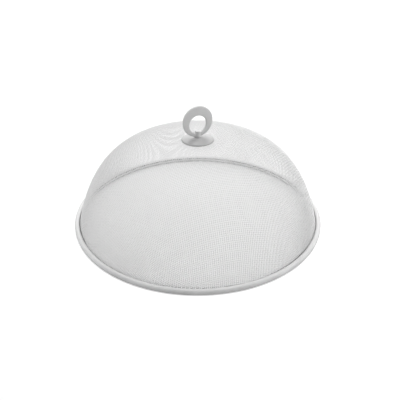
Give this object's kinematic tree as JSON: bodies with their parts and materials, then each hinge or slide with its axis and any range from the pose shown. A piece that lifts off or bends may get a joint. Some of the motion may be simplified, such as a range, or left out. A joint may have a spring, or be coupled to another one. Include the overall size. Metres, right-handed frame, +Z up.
{
  "type": "mesh food cover",
  "caption": "Round dome of woven wire mesh in a rolled metal rim, with an upright ring handle on a dished disc, to keep insects off food.",
  "frame": {"origin": "centre of the rim, on the flat face that it stands on", "axes": "+Z up through the handle; the ring handle lies in the XZ plane, so its finger hole runs along Y"},
  "size_m": [0.355, 0.355, 0.1685],
  "materials": {
    "coated_mesh": "pale grey-white coat over thin steel wire, satin",
    "coated_band": "pale grey-white coat over rolled steel sheet, satin",
    "disc_coat": "mid-grey coat over pressed steel sheet, half gloss",
    "handle_plastic": "moulded light grey plastic, half gloss",
    "zinc_steel": "bright zinc plate"
  },
  "bodies": {
    "root": {"mesh_dome": "coated_mesh", "rim_band": "coated_band", "rim_hoop": "zinc_steel", "ring_handle": "handle_plastic", "handle_disc": "disc_coat", "clamp_washer": "zinc_steel", "handle_screw": "zinc_steel"}
  },
  "joints": []
}
